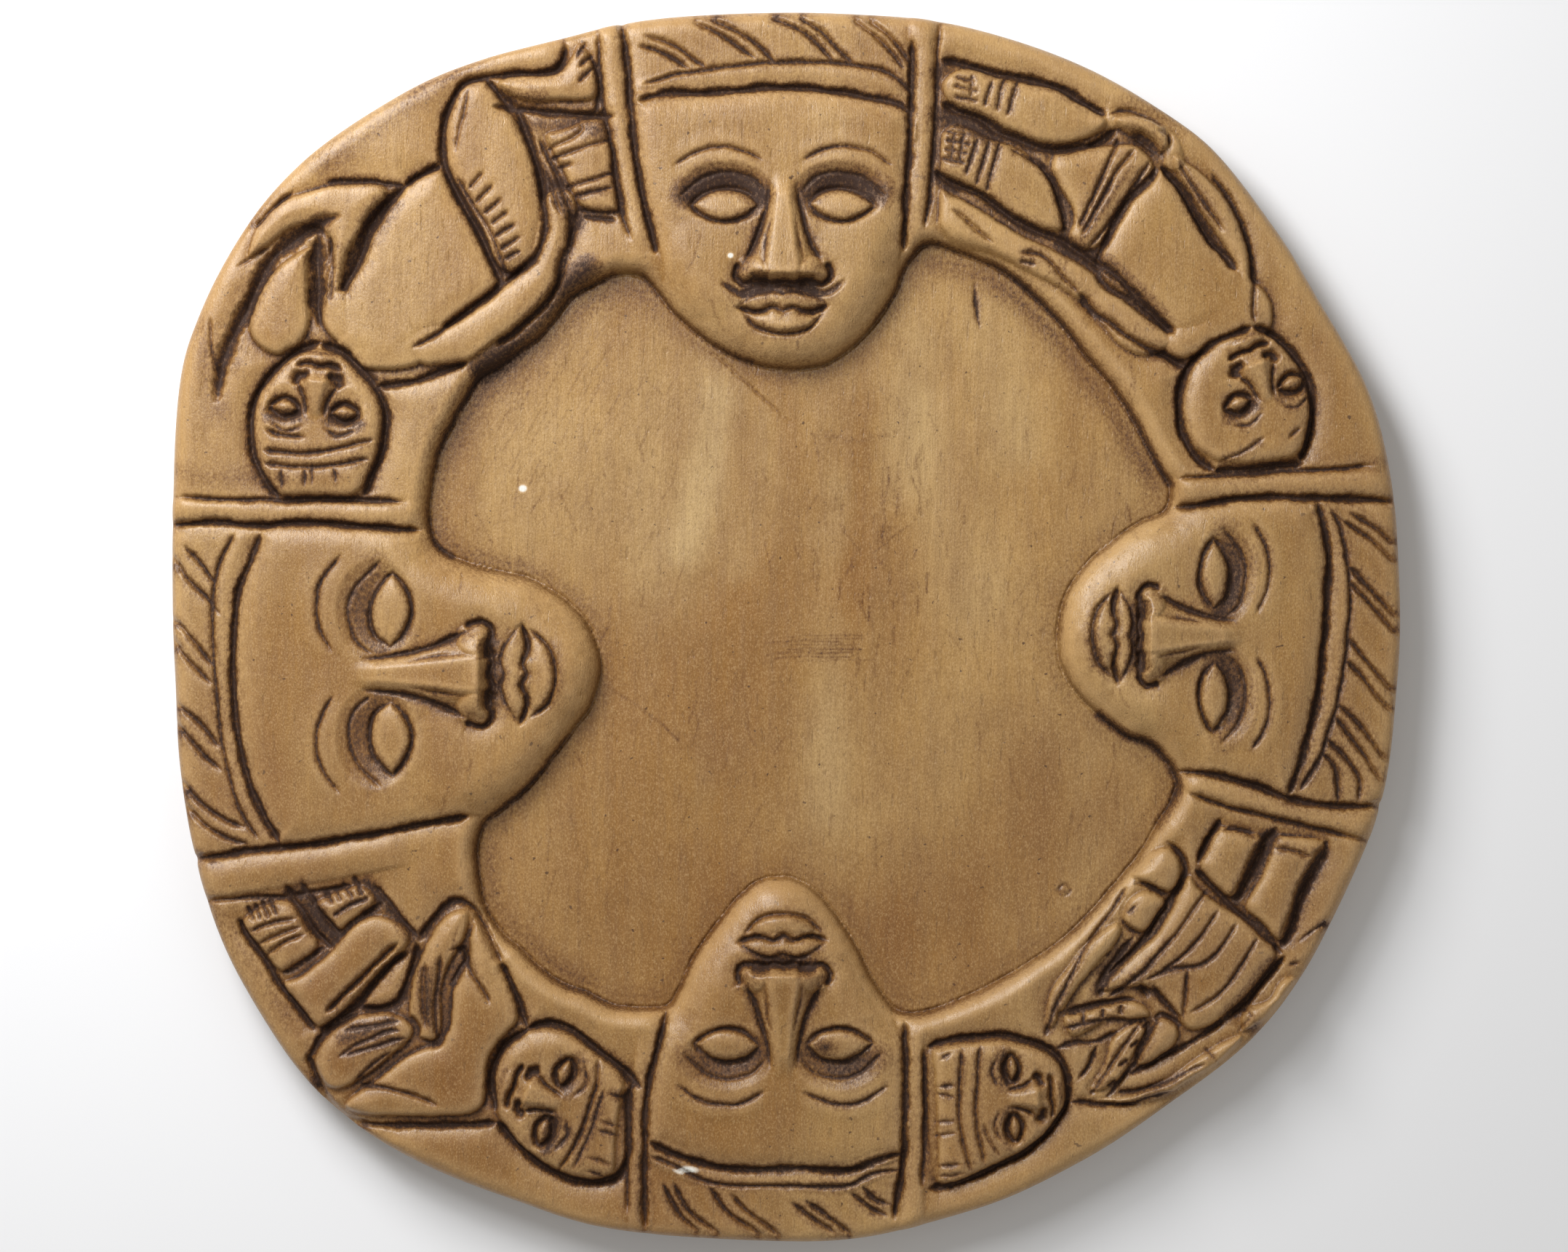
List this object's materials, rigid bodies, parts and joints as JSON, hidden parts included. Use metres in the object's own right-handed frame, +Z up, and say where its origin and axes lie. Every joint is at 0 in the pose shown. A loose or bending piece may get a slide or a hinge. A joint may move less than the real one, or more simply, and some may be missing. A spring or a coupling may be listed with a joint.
{
  "type": "opon ifa divination tray",
  "caption": "Carved round wooden divination tray, 400 mm, with a sunk floor and a border of four faces, raised bars and four lying figures in low relief.",
  "frame": {"origin": "middle of the underside, on the surface that the tray lies on", "axes": "+Z up out of the carved face; +Y towards the rim at the upright face; +X to its right"},
  "size_m": [0.3999, 0.4001, 0.0307],
  "materials": {
    "carved_wood": "satin, with dark patina in the grooves"
  },
  "bodies": {
    "root": {"bar_bottom_left": "carved_wood", "bar_bottom_right": "carved_wood", "bar_left_left": "carved_wood", "bar_left_right": "carved_wood", "bar_right_left": "carved_wood", "bar_right_right": "carved_wood", "bar_top_left": "carved_wood", "bar_top_right": "carved_wood", "board": "carved_wood", "face_bottom": "carved_wood", "face_left": "carved_wood", "face_right": "carved_wood", "face_top": "carved_wood", "headband_bottom": "carved_wood", "headband_left": "carved_wood", "headband_right": "carved_wood", "headband_top": "carved_wood", "lower_left_arm": "carved_wood", "lower_left_calf": "carved_wood", "lower_left_hand": "carved_wood", "lower_left_head": "carved_wood", "lower_left_shin": "carved_wood", "lower_left_thigh": "carved_wood", "lower_left_torso": "carved_wood", "lower_right_chest": "carved_wood", "lower_right_collar": "carved_wood", "lower_right_cuff": "carved_wood", "lower_right_foot": "carved_wood", "lower_right_forearm": "carved_wood", "lower_right_hand": "carved_wood", "lower_right_head": "carved_wood", "lower_right_heel": "carved_wood", "lower_right_sash": "carved_wood", "lower_right_shoulder": "carved_wood", "lower_right_skirt": "carved_wood", "lower_right_sleeve": "carved_wood", "upper_left_arm": "carved_wood", "upper_left_foot": "carved_wood", "upper_left_forearm": "carved_wood", "upper_left_hand": "carved_wood", "upper_left_head": "carved_wood", "upper_left_sleeve": "carved_wood", "upper_left_thigh": "carved_wood", "upper_left_torso": "carved_wood", "upper_right_arm": "carved_wood", "upper_right_calf": "carved_wood", "upper_right_fist": "carved_wood", "upper_right_head": "carved_wood", "upper_right_shin": "carved_wood", "upper_right_skirt": "carved_wood", "upper_right_sleeve": "carved_wood", "upper_right_torso": "carved_wood"}
  },
  "joints": []
}
